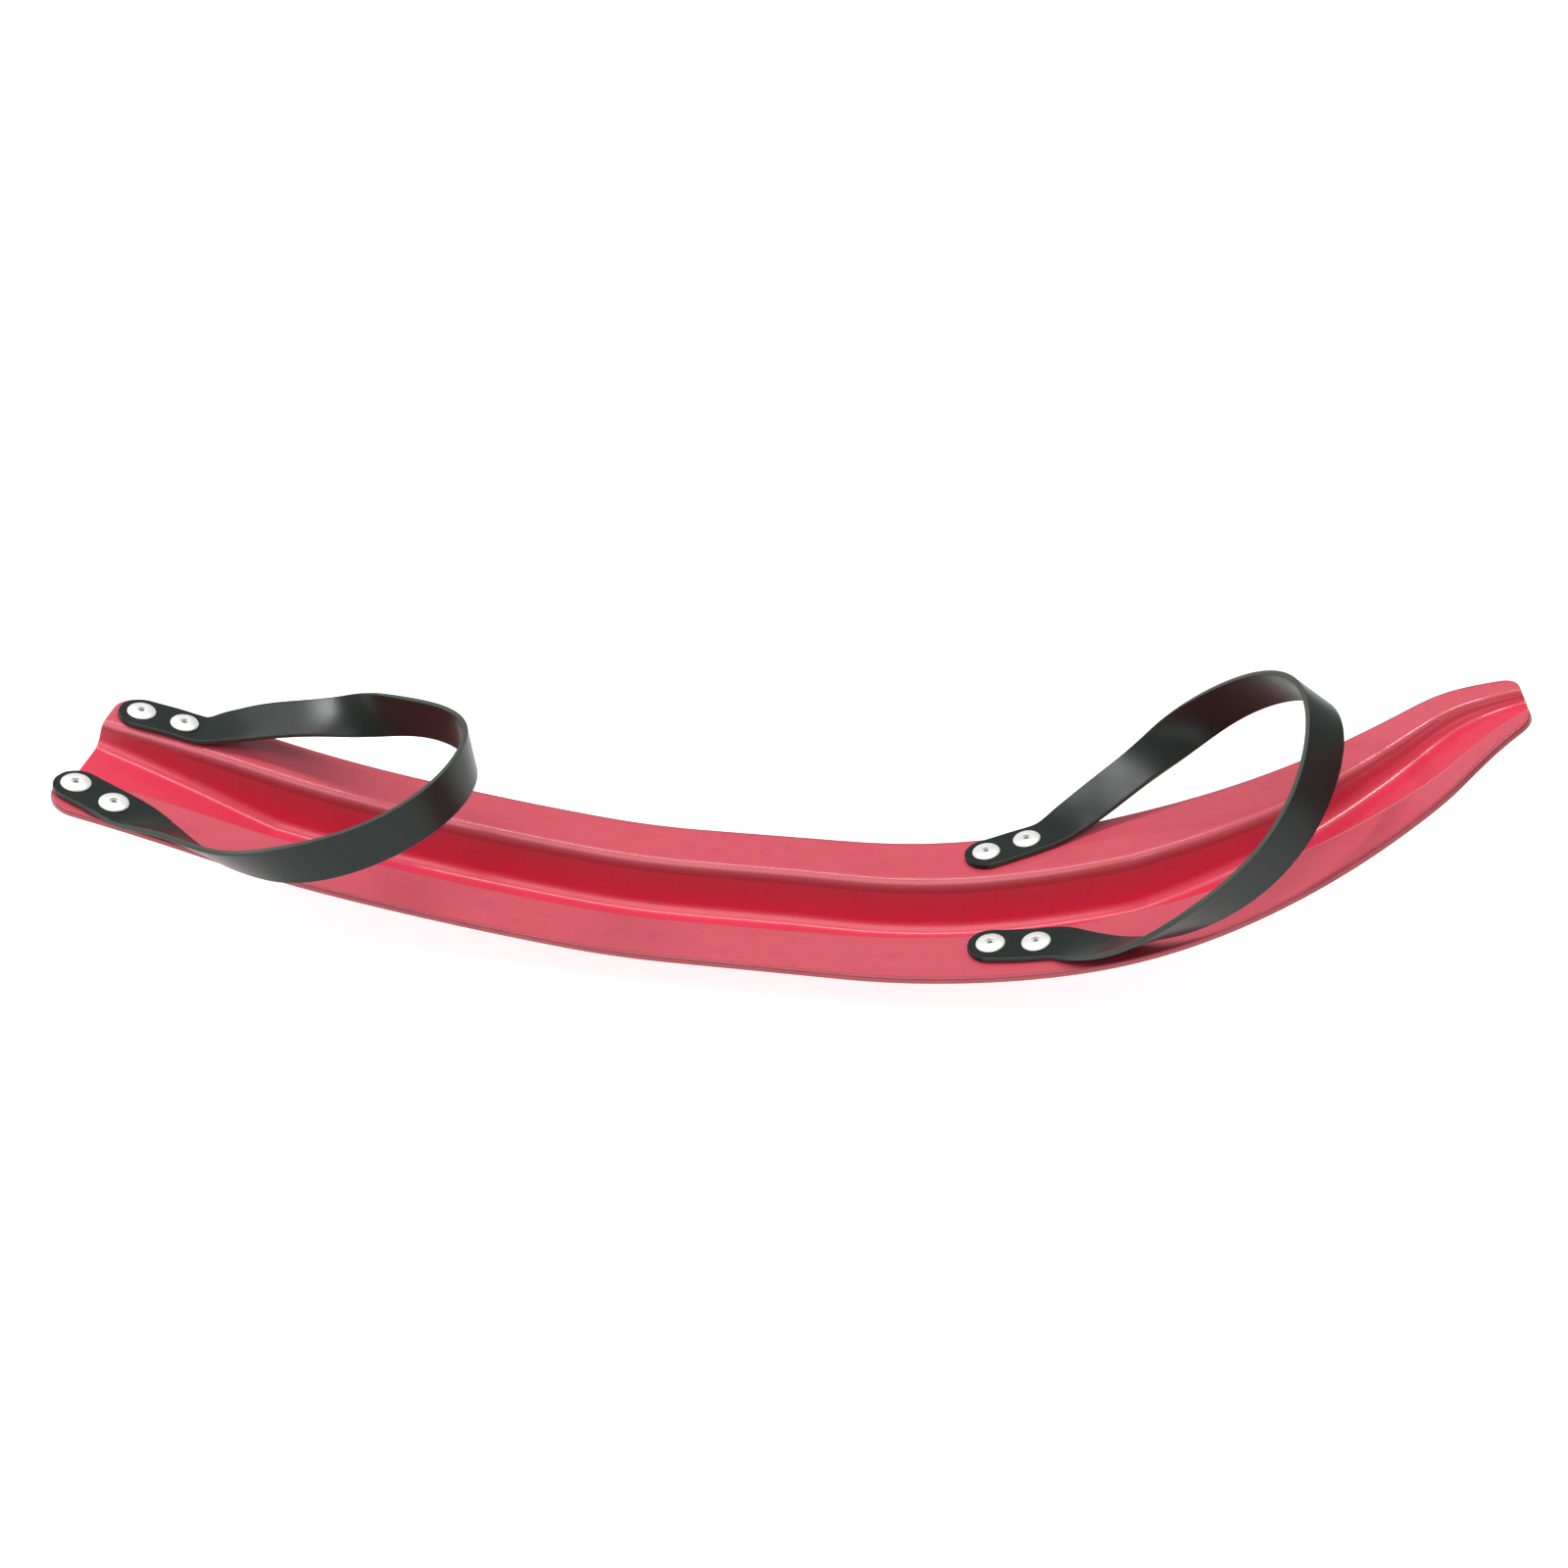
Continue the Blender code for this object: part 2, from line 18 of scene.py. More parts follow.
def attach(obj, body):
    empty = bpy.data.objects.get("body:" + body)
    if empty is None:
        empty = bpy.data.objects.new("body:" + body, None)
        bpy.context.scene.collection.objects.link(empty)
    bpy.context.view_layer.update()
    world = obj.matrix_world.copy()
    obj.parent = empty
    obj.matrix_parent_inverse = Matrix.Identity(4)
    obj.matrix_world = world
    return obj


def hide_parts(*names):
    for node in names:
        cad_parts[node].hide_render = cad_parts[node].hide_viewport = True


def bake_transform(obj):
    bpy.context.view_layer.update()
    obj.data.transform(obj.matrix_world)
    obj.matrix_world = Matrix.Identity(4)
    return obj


MM = 0.001
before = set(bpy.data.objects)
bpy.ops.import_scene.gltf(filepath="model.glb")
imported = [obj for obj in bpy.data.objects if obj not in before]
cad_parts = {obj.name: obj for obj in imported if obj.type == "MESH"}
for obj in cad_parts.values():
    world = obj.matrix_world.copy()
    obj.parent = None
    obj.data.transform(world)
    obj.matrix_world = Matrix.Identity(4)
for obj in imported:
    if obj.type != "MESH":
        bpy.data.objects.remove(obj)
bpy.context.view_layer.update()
scene = bpy.context.scene

# %% [markdown]
# ## Two numeric tools
#
# Nearly every line on the shoe is smooth: its edge, its bow and the path of each band. A natural cubic spline
# runs through a few chosen stations with no kink, and it is short to write as one small linear system.
# Whole arrays go in and come out, so no step here loops over single vertices.

# %% A natural cubic spline
def spline(knots, values, at):
    """Natural cubic spline.

    Between two knots the value is a*v0 + b*v1 plus the two bends, each times its cubic (a^3 - a or b^3 - b),
    times gap^2 / 6. The bends solve the system that makes the slope run on smoothly at every knot.
    """
    knots, values, at = (np.asarray(v, float) for v in (knots, values, at))
    gaps, count = np.diff(knots), len(knots)
    system, right = np.eye(count), np.zeros_like(values)
    for i in range(1, count - 1):
        system[i, i - 1:i + 2] = gaps[i - 1], 2 * (gaps[i - 1] + gaps[i]), gaps[i]
        right[i] = 6 * ((values[i + 1] - values[i]) / gaps[i] - (values[i] - values[i - 1]) / gaps[i - 1])
    bend = np.linalg.solve(system, right)
    k = np.clip(np.searchsorted(knots, at) - 1, 0, count - 2)
    gap = gaps[k]
    b = (at - knots[k]) / gap
    a = 1 - b
    if values.ndim == 2:
        a, b, gap = a[..., None], b[..., None], gap[..., None]
    return a * values[k] + b * values[k + 1] + ((a**3 - a) * bend[k] + (b**3 - b) * bend[k + 1]) * gap**2 / 6


def unit(vectors):
    """Each vector divided by its own length."""
    return vectors / np.linalg.norm(vectors, axis=-1, keepdims=True)


print("spline through 0, 1, 0 at the middle:", float(spline([0, 1, 2], [0, 1, 0], 1)))

# %% A surface from a closed grid of points
def grid_faces(rows, across, wrap_rows=False, wrap_across=False):
    """Quads of a grid, as indices: corner (i, j), (i, j+1), (i+1, j+1), (i+1, j), with wrapping where asked."""
    i = np.arange(rows if wrap_rows else rows - 1)[:, None]
    j = np.arange(across if wrap_across else across - 1)[None, :]
    ni, nj = (i + 1) % rows, (j + 1) % across
    corners = [i * across + j, i * across + nj, ni * across + nj, ni * across + j]
    return np.stack(np.broadcast_arrays(*corners), -1).reshape(-1, 4)


def signed_volume(points, faces):
    """Six times the enclosed volume: the sum of each triangle's corner product. It is positive if faces point out."""
    tri = np.concatenate([faces[:, [0, 1, 2]], faces[:, [0, 2, 3]]])
    a, b, c = (points[tri[:, n]] for n in range(3))
    return float(np.sum(a * np.cross(b, c)))


def piece_from(name, points, faces, material, uv=None, numbers=None, smooth_angle=40):
    """A mesh object at the origin from points and quads, turned outward, with a UV and named numbers per point."""
    points, faces = np.asarray(points, float).reshape(-1, 3), np.asarray(faces, int)
    if signed_volume(points, faces) < 0:
        faces = faces[:, ::-1]
    mesh = bpy.data.meshes.new(name)
    mesh.from_pydata(points.tolist(), [], faces.tolist())
    mesh.materials.append(material)
    if uv is not None:
        layer = mesh.uv_layers.new(name="along_and_across")
        layer.data.foreach_set("uv", np.asarray(uv, np.float32)[faces.reshape(-1)].reshape(-1))
    for key, values in (numbers or {}).items():
        mesh.attributes.new(key, "FLOAT", "POINT").data.foreach_set("value", np.ravel(values).astype(np.float32))
    mesh.shade_smooth()
    mesh.set_sharp_from_angle(angle=math.radians(smooth_angle))
    piece = bpy.data.objects.new(name, mesh)
    scene.collection.objects.link(piece)
    print(f"{name}: {len(points)} points, {len(faces)} faces")
    return piece


# %% [markdown]
# ## Shader arithmetic
#
# A finish is a sum of small effects: a colour, a little mottle, a gloss that varies. Written as node clicks
# that is hard to read, so a tiny class wraps a node's output and lets Python's own +, - and * add the Math
# nodes. Colours go through Mix nodes, because a Math node would turn them grey.

# %% The socket class
class Wire:
    """A node's output that understands arithmetic, inside one material's node tree."""

    def __init__(self, tree, socket):
        self.tree, self.socket = tree, socket

    def node(self, kind, settings=None, values=None, output=0):
        """Adds a node of this type: its settings first, then the values or links of its sockets."""
        made = self.tree.nodes.new(kind)
        for key, value in (settings or {}).items():
            setattr(made, key, value)
        for key, value in (values or {}).items():
            if isinstance(value, Wire):
                self.tree.links.new(value.socket, made.inputs[key])
            else:
                made.inputs[key].default_value = value
        return Wire(self.tree, made.outputs[output])

    def math(self, operation, *others):
        return self.node("ShaderNodeMath", {"operation": operation}, dict(enumerate((self, *others))))

    def __add__(self, other):
        return self.math("ADD", other)

    def __sub__(self, other):
        return self.math("SUBTRACT", other)

    def __rsub__(self, other):
        return self.node("ShaderNodeMath", {"operation": "SUBTRACT"}, {0: other, 1: self})

    def __mul__(self, other):
        return self.math("MULTIPLY", other)

    __radd__ = __add__
    __rmul__ = __mul__

    def clamped(self, low=0.0, high=1.0):
        return self.math("MAXIMUM", low).math("MINIMUM", high)

    def between(self, start, end):
        """0 below start, 1 above end, and a smooth rise between."""
        return self.node("ShaderNodeMapRange", {"interpolation_type": "SMOOTHSTEP"},
                         {"Value": self, "From Min": start, "From Max": end})

    def tint(self, low, high):
        """A colour: low where this is 0, high where it is 1."""
        colours = {"Factor": self, 6: (*low, 1) if isinstance(low, tuple) else low,
                   7: (*high, 1) if isinstance(high, tuple) else high}
        return self.node("ShaderNodeMix", {"data_type": "RGBA"}, colours, output=2)


def noise(place, scale, detail=3.0, roughness=0.5):
    """Soft random patches, this many to the metre, between 0 and 1."""
    return place.node("ShaderNodeTexNoise", {}, {
        "Vector": place, "Scale": scale, "Detail": detail, "Roughness": roughness})


def stretched(place, x, y, z):
    """The same coordinates, drawn out or squeezed along each axis."""
    return place.node("ShaderNodeMapping", {}, {"Vector": place, "Scale": (x, y, z)})


print("shader arithmetic ready")

# %% A finish with its place, its parts and its bump
def new_finish(name, **constants):
    """A material with one Principled shader. Constants go straight onto its sockets."""
    made = bpy.data.materials.new(name)
    made.use_nodes = True
    shader = made.node_tree.nodes["Principled BSDF"]
    for key, value in constants.items():
        shader.inputs[key.replace("_", " ").title().replace("Ior", "IOR")].default_value = value
    coordinates = made.node_tree.nodes.new("ShaderNodeTexCoord")
    return made, shader, Wire(made.node_tree, coordinates.outputs["Object"])


def connect(shader, wire, socket):
    wire.tree.links.new(wire.socket, shader.inputs[socket])


def bump(shader, height, distance, strength=1.0):
    """Height, in shares of distance in metres, tips the surface normal."""
    tipped = height.node("ShaderNodeBump", {}, {"Height": height, "Distance": distance, "Strength": strength})
    connect(shader, tipped, "Normal")


print("finish helpers ready")

# %% [markdown]
# ## The finishes
#
# The shoe is moulded polyethylene: a waxy red, never quite even, with fine drag lines along its length where
# snow has passed. Its flanges are painted paler than the channel, a painted highlight where their upward faces
# would catch the light, and the channel is painted a deeper red as painted shade. The rim and the flange
# undersides are painted darker as painted shade. The pattern reads Object coordinates, so it stays on the plastic when
# the view turns.
#
# Two attributes carry what only the shape knows: how deep a point lies in the channel, and how close it is to
# the outer edge or under a flange, which sets the painted shade there. Each is one number per point, worked out with
# the surface.

# %% Waxy red plastic
# This colour is painted shade: the deeper, more saturated red deep in the channel.
RED_CHANNEL_SHADE = (0.74, 0.014, 0.060)
RED_FACE = (0.60, 0.026, 0.056)
# This colour is the painted highlight on the upward flanges, and also the colour of the fine pale specks.
RED_PALE = (0.60, 0.092, 0.122)
RED_VIOLET = (0.52, 0.030, 0.130)
# This colour is painted shade: the dark red of the outer rim and the flange undersides.
RED_RIM_SHADE = (0.22, 0.006, 0.014)

plastic, shader, place = new_finish("waxy_red_plastic", specular_ior_level=0.55, coat_roughness=0.12)
depth = place.node("ShaderNodeAttribute", {"attribute_name": "channel_depth"}, output=2)
rim = place.node("ShaderNodeAttribute", {"attribute_name": "rim_painted_shade"}, output=2)
mottle = noise(place, 38.0, 4.0, 0.62)
clouds = noise(place, 9.0, 2.0, 0.5)
drag = noise(stretched(place, 5.0, 420.0, 420.0), 1.0, 3.0, 0.6)
speckle = noise(place, 900.0, 2.0, 0.5)
# Painted highlight: the flat flanges are painted paler, in cloudy patches, as if lit from above; the mottle part is
# the plastic's own uneven tone.
flange_share = 1 - depth.between(0.02, 0.30)
pale = (flange_share * (0.28 + 0.34 * clouds) + 0.16 * mottle).clamped()
# Painted shade: deeper in the channel the red is painted deeper and more saturated.
face = depth.between(0.35, 1.0).tint(RED_FACE, RED_CHANNEL_SHADE)
blotch = noise(place, 130.0, 4.0, 0.7).between(0.50, 0.72)
# The violet blotches are the plastic's own random tone, laid over the painted highlight and painted shade.
sheen_shade_and_blotches = (0.50 * blotch).tint(pale.tint(face, RED_PALE), RED_VIOLET)
# Painted shade: the outer rim and the flange undersides are painted dark, broken up by the mottle.
rim_shaded = (rim.between(0.35, 1.0) * (0.45 + 0.5 * mottle)).tint(sheen_shade_and_blotches, RED_RIM_SHADE)
connect(shader, (speckle.between(0.40, 0.70) * 0.16).tint(rim_shaded, RED_PALE), "Base Color")
connect(shader, (0.27 + 0.12 * mottle + 0.08 * drag + 0.05 * flange_share).clamped(), "Roughness")
connect(shader, (0.55 - 0.20 * clouds).clamped(), "Coat Weight")
bump(shader, 0.55 * mottle + 0.30 * drag + 0.15 * speckle, 0.00022, 0.7)
print("red plastic:", len(plastic.node_tree.nodes), "nodes")

# %% [markdown]
# Rubber is nearly black, with a green cast, and it is satin: a broad soft highlight and no mirror. The band was
# cut from a calendered sheet, so its cut edges are rougher than its faces, and a fine grain runs along it.
# The grain needs the band's own direction, so it reads the band's UV map, along and across in metres.

# %% Satin rubber
RUBBER_DARK = (0.0045, 0.0080, 0.0065)
RUBBER_GREY = (0.020, 0.032, 0.026)
RUBBER_CUT = (0.060, 0.075, 0.062)
CUT_FROM, CUT_FULL = 12.0 * MM, 12.5 * MM

rubber, shader, place = new_finish("satin_rubber", specular_ior_level=0.30)
band_uv = place.node("ShaderNodeUVMap", {"uv_map": "along_and_across"})
grain = noise(stretched(band_uv, 240.0, 2600.0, 1.0), 1.0, 2.0, 0.5)
dust = noise(place, 46.0, 4.0, 0.66)
fine = noise(place, 1500.0, 2.0, 0.5)
aside = band_uv.node("ShaderNodeSeparateXYZ", {}, {"Vector": band_uv}, output=1)
cut = aside.math("ABSOLUTE").between(CUT_FROM, CUT_FULL)
face = (0.30 * dust + 0.30 * grain).clamped().tint(RUBBER_DARK, RUBBER_GREY)
connect(shader, (0.8 * cut).tint(face, RUBBER_CUT), "Base Color")
connect(shader, (0.22 + 0.14 * dust + 0.06 * grain + 0.20 * cut).clamped(), "Roughness")
bump(shader, 0.5 * grain + 0.5 * fine, 0.00006, 0.6)
print("rubber:", len(rubber.node_tree.nodes), "nodes")

# %% [markdown]
# The rivet heads are bright aluminium with a light brushed haze. The mandrel stub left inside is dull broken
# steel, and the washers under the flange are zinc plated. Metal takes its look mostly from roughness, so that
# is what varies here.

# %% The three metals
def metal(name, dark, light, roughness, spread, depth, metallic=1.0):
    """A metal finish: colour and roughness vary with fine and broad noise, and a shallow bump scatters the light."""
    made, shader, place = new_finish(name, metallic=metallic)
    fine, broad = noise(place, 1400.0, 3.0, 0.6), noise(place, 160.0, 3.0, 0.6)
    connect(shader, (0.55 * broad + 0.35 * fine).clamped().tint(dark, light), "Base Color")
    connect(shader, (roughness + spread * broad + 0.5 * spread * fine).clamped(), "Roughness")
    bump(shader, 0.6 * fine + 0.4 * broad, depth, 0.5)
    return made


bright_aluminium = metal("bright_aluminium", (0.80, 0.81, 0.77), (0.97, 0.97, 0.94), 0.36, 0.14, 0.00004, 0.55)
broken_steel = metal("broken_steel", (0.10, 0.10, 0.10), (0.30, 0.30, 0.30), 0.42, 0.20, 0.00008)
zinc_plate = metal("zinc_plate", (0.44, 0.45, 0.47), (0.66, 0.67, 0.69), 0.30, 0.16, 0.00005)
print("metals ready")

# %% [markdown]
# ## The shoe
#
# The shoe is one long sweep. Its flange line is bowed: flat under the middle, then sloping up to the low tail
# and more steeply up to the nose. Along that line the width, the flange and the channel's depth all change.
# Walking the line in small steps gives a table of distance, X, Z and slope that everything else reads.

# %% The bow of the flange line
TAIL_REACH, NOSE_REACH = 408 * MM, 415 * MM
FLAT_BACK, FLAT_FRONT = 60 * MM, 30 * MM
WALL, CHANNEL_DEPTH = 4 * MM, 28 * MM
TAIL_BENDS = ((60, -7.0), (180, -11.0), (260, -17.0), (348, -13.0))
NOSE_BENDS = ((70, 10.5), (130, 18.5), (210, 30.5), (290, 42.5), (340, 48.5), (385, 30.0))
KEEL_STEP = 0.5 * MM

bends = [(-FLAT_BACK - reach * MM, slope) for reach, slope in reversed(TAIL_BENDS)]
bends += [(-FLAT_BACK, 0.0), (FLAT_FRONT, 0.0)]
bends += [(FLAT_FRONT + reach * MM, slope) for reach, slope in NOSE_BENDS]
KEEL_S = np.arange(-TAIL_REACH, NOSE_REACH + KEEL_STEP, KEEL_STEP)
KEEL_SLOPE = np.radians(np.interp(KEEL_S, *zip(*bends)))
mean_slope = (KEEL_SLOPE[1:] + KEEL_SLOPE[:-1]) / 2
KEEL_X = np.concatenate([[0], np.cumsum(KEEL_STEP * np.cos(mean_slope))])
KEEL_Z = np.concatenate([[0], np.cumsum(KEEL_STEP * np.sin(mean_slope))])
KEEL_X -= np.interp(0, KEEL_S, KEEL_X)
KEEL_Z += CHANNEL_DEPTH + WALL - np.interp(0, KEEL_S, KEEL_Z)


def on_flange(s, y, lift):
    """The point at distance s along the flange line and y across it, raised by lift along the line's normal."""
    slope = np.interp(s, KEEL_S, KEEL_SLOPE)
    x = np.interp(s, KEEL_S, KEEL_X) - np.sin(slope) * lift
    z = np.interp(s, KEEL_S, KEEL_Z) + np.cos(slope) * lift
    return np.stack(np.broadcast_arrays(x, y, z), -1)


middle_height = CHANNEL_DEPTH + WALL
print(f"flange line rises {KEEL_Z[0] - middle_height:.3f} m to the tail "
      f"and {KEEL_Z[-1] - middle_height:.3f} m to the nose")

# %% Widths and depths along the shoe
SHOULDER_AT = 190 * MM
WIDTHS = ((-408, 116), (-200, 120.5), (0, 124), (100, 128.5), (190, 133), (288, 114), (349, 94), (372, 82),
          (393, 62), (415, 40))
FLANGES = ((-408, 28), (0, 31), (190, 38), (288, 30), (415, 9))
DEPTHS = ((-408, 13), (-298, 28), (185, 28), (415, 6))
TAIL_CORNER, NOSE_CORNER = 17 * MM, 7 * MM
SHOULDER_RADIUS, FLOOR_RADIUS, FULL_RADIUS_DEPTH = 7 * MM, 8 * MM, 14 * MM
WALL_ANGLE = math.radians(72)


def at_stations(table, s):
    places, values = np.array(table, float).T * MM
    return np.interp(s, places, values)


def half_width(s):
    places, values = np.array(WIDTHS, float).T * MM
    return spline(places, values, s) / 2


def flange_width(s):
    return at_stations(FLANGES, s)


def channel_depth(s):
    return at_stations(DEPTHS, s)


def rounded_end(distance, radius):
    """How much a rounded corner narrows the shoe: radius minus the circle's chord at this distance from the tip."""
    return radius - np.sqrt(np.maximum(0, radius**2 - np.maximum(0, radius - distance) ** 2))


print("half width at the shoulder:", round(float(half_width(SHOULDER_AT)) * 1000, 1), "mm")

# %% [markdown]
# A cross-section runs from the flange's edge, flat, over a rounded shoulder, down a steep wall, round into the
# floor and to the middle. It is one polyline with the same number of points everywhere, so sections join up
# into a grid. The lower surface is the same line moved inward by the wall. Rounding the outer rim with a small
# arc between the two is what makes it read as moulded and not as cut sheet.

# %% One side of the section
FLAT_STEPS, ARC_STEPS, RUN_STEPS, FLOOR_STEPS, RIM_STEPS = 14, 12, 10, 6, 7
RIM_RADIUS = 1.2 * MM


def side_section(s, thickness):
    """Section of one side at stations s: y and height, shaped (stations, points).

    The flange is straight. The shoulder is y = opening - r sin t, height = -r (1 - cos t). The wall is straight
    at the wall's angle, and the floor's arc is centred above it. A thickness moves the line along its normal.
    """
    s = np.asarray(s, float)[:, None]
    depth, opening = channel_depth(s), half_width(s) - flange_width(s)
    edge = half_width(s) - rounded_end(s + TAIL_REACH, TAIL_CORNER) - rounded_end(NOSE_REACH - s, NOSE_CORNER)
    share = np.minimum(1, depth / FULL_RADIUS_DEPTH)
    shoulder, floor = np.maximum(share * SHOULDER_RADIUS, WALL * 1.1), share * FLOOR_RADIUS
    run = (depth - (shoulder + floor) * (1 - math.cos(WALL_ANGLE))) / math.sin(WALL_ANGLE)
    flat = np.linspace(0, 1, FLAT_STEPS)[None, :]
    turn = np.linspace(0, WALL_ANGLE, ARC_STEPS)[None, :]
    flat_y, flat_tilt = (edge - RIM_RADIUS) * (1 - flat) + opening * flat, 0 * flat + 0 * s
    arc_y, arc_h = opening - shoulder * np.sin(turn), -shoulder * (1 - np.cos(turn))
    way = np.linspace(0, 1, RUN_STEPS)[None, 1:-1]
    run_y = arc_y[:, -1:] - way * run * math.cos(WALL_ANGLE)
    run_h = arc_h[:, -1:] - way * run * math.sin(WALL_ANGLE)
    foot_y = arc_y[:, -1:] - run * math.cos(WALL_ANGLE)
    centre_y = foot_y - floor * math.sin(WALL_ANGLE)
    foot_h = arc_h[:, -1:] - run * math.sin(WALL_ANGLE)
    centre_h = foot_h + floor * math.cos(WALL_ANGLE)
    low_y, low_h = centre_y + floor * np.sin(turn[:, ::-1]), centre_h - floor * np.cos(turn[:, ::-1])
    middle = np.linspace(0, 1, FLOOR_STEPS)[None, 1:]
    mid_y = low_y[:, -1:] * (1 - middle)
    y = np.concatenate([flat_y, arc_y[:, 1:], run_y, low_y, mid_y], 1)
    height = np.concatenate([flat_tilt, arc_h[:, 1:], run_h, low_h, -depth + 0 * mid_y], 1)
    tilt = np.concatenate([flat_tilt, turn[:, 1:] + 0 * s, WALL_ANGLE + 0 * run_y, turn[:, ::-1] + 0 * s,
                           0 * mid_y], 1)
    return y + thickness * np.sin(tilt), height - thickness * np.cos(tilt)


test_y, test_h = side_section([0.0], 0.0)
print("channel floor at the middle lies", round(float(-test_h[0, -1]) * 1000, 1), "mm below the flange")

# %% Closing a section, and closing a tube of sections
def close_section(top, low, bulge):
    """Closed loops from an upper and a lower line, both listed right to left and shaped (stations, points, 2).

    The loop runs over the top, round the left rim, back underneath and round the right rim. A rim is a quarter
    turn out and down, y = edge + bulge sin t and height = top - r (1 - cos t), and its mirror from below.
    """
    turn = np.linspace(0, math.pi / 2, RIM_STEPS)[None, 1:]
    bulge = np.reshape(bulge, (-1, 1)) + 0 * top[:, :1, 0]

    def rim(column, side):
        above, below = top[:, column, None], low[:, column, None]
        radius = np.minimum(bulge, (above[..., 1] - below[..., 1]) / 2)
        out, down = side * bulge * np.sin(turn), radius * (1 - np.cos(turn))
        return (np.stack([above[..., 0] + out, above[..., 1] - down], -1),
                np.stack([below[..., 0] + out, below[..., 1] + down], -1))

    left_top, left_low = rim(-1, -1)
    right_top, right_low = rim(0, 1)
    return np.concatenate([top, left_top, left_low[:, ::-1], low[:, ::-1], right_low, right_top[:, ::-1]], 1)


def tube_faces(stations, around, first=0):
    """Faces of a tube of closed loops, its two ends closed by strips between opposite points of the end loop."""
    sides = grid_faces(stations, around, wrap_across=True)
    order = np.roll(np.arange(around), -first)
    a, b = order[:around // 2], order[around // 2:][::-1]
    start = np.stack([a[1:], a[:-1], b[:-1], b[1:]], -1)
    last = np.stack([a[:-1], a[1:], b[1:], b[:-1]], -1) + (stations - 1) * around
    return np.concatenate([sides, start, last])


RIM_HALF = RIM_STEPS - 1
print("closing helpers ready, rims of", 2 * RIM_HALF, "points")

# %% The shell
TAIL_STEPS, MIDDLE_STEPS, NOSE_STEPS = 14, 250, 8
TAIL_START, NOSE_START = 24, 38
# These set the painted shade: its reach in from the outer edge, its share under the flanges, and how shallow the
# underside must lie.
RIM_SHADE_REACH, UNDER_FLANGE_SHADE, UNDER_FLANGE_DEPTH = 5 * MM, 0.7, 0.3


def lip(radius):
    """Distances from a flat end and the squeezes there: d = r (1 - cos t), squeeze = r (1 - sin t)."""
    turn = np.linspace(0, math.pi / 2, RIM_STEPS)
    return radius * (1 - np.cos(turn)), radius * (1 - np.sin(turn))


def around_corner(radius, start_degrees, count):
    """Distances from the end that step evenly round a corner seen from above: d = r (1 - cos t)."""
    return radius * (1 - np.cos(np.linspace(math.radians(start_degrees), math.pi / 2, count)))


lip_d, lip_squeeze = lip(RIM_RADIUS)
tail_d, nose_d = around_corner(TAIL_CORNER, TAIL_START, TAIL_STEPS), around_corner(NOSE_CORNER, NOSE_START, NOSE_STEPS)
middle_s = np.linspace(-TAIL_REACH + TAIL_CORNER, NOSE_REACH - NOSE_CORNER, MIDDLE_STEPS)[1:-1]
stations = np.concatenate([-TAIL_REACH + lip_d, -TAIL_REACH + tail_d, middle_s,
                           NOSE_REACH - nose_d[::-1], NOSE_REACH - lip_d[::-1]])
squeeze = np.zeros(len(stations))
squeeze[:RIM_STEPS], squeeze[-RIM_STEPS:] = lip_squeeze, lip_squeeze[::-1]


def both_sides(section):
    """A half section listed from the edge to the middle, with its mirror: right to left."""
    y, height = section
    return np.stack([np.concatenate([y, -y[:, -2::-1]], 1), np.concatenate([height, height[:, -2::-1]], 1)], -1)


upper, lower = both_sides(side_section(stations, 0.0)), both_sides(side_section(stations, WALL))
upper[..., 1] -= squeeze[:, None]
lower[..., 1] += squeeze[:, None]
loops = close_section(upper, lower, RIM_RADIUS)
around = loops.shape[1]
s_grid = np.repeat(stations[:, None], around, 1)
shell_points = on_flange(s_grid, loops[..., 0], loops[..., 1])
deep = np.clip(-loops[..., 1] / channel_depth(s_grid), 0, 1)
# Painted shade: this number is 1 at the outer edge, falls to 0 five millimetres in, and adds 0.7 under the flanges.
from_edge = np.abs(loops[:, :1, 0]) + RIM_RADIUS - np.abs(loops[..., 0])
under_flange = (loops[..., 1] < -0.5 * WALL) * (deep < UNDER_FLANGE_DEPTH)
rim_shade = np.clip(1 - from_edge / RIM_SHADE_REACH, 0, 1) + UNDER_FLANGE_SHADE * under_flange
shell = piece_from("ski_shoe_shell", shell_points, tube_faces(len(stations), around, around - RIM_HALF), plastic,
                   numbers={"channel_depth": deep, "rim_painted_shade": np.clip(rim_shade, 0, 1)})
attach(shell, "shoe")
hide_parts("ski_skin")

# %% [markdown]
# ## The bands
#
# Each strap is one flat band. Its ends lie on the flanges, fastened by two rivets each, and between them it
# twists a quarter turn and makes a loop. A band is a rounded rectangle carried along a curve, if at every place
# the curve's own direction and the way the band's upper edge points are known. Both are splines through a few
# knots: four for each riveted end, and seven round the loop.

# %% Where a strap's ends lie
BAND_WIDTH, BAND_THICK, SEAT_GAP = 25.4 * MM, 3.0 * MM, 0.3 * MM
RIVET_PITCH, RIVET_HEAD = 25 * MM, 16 * MM
FLEX_BEHIND_HEAD, FLAT_AHEAD, HINGE_RISE = 1 * MM, 10 * MM, 6 * MM
ENDS = {
    "rear": {"near": (-TAIL_REACH + 11 * MM, -6.0 * MM, 17), "far": (-TAIL_REACH + 17 * MM, -4.0 * MM, 2)},
    "front": {"near": (SHOULDER_AT - 78 * MM, -7.4 * MM, 6), "far": (SHOULDER_AT - 82 * MM, -0.8 * MM, 20)},
}
SIDES = {"near": -1, "far": 1}


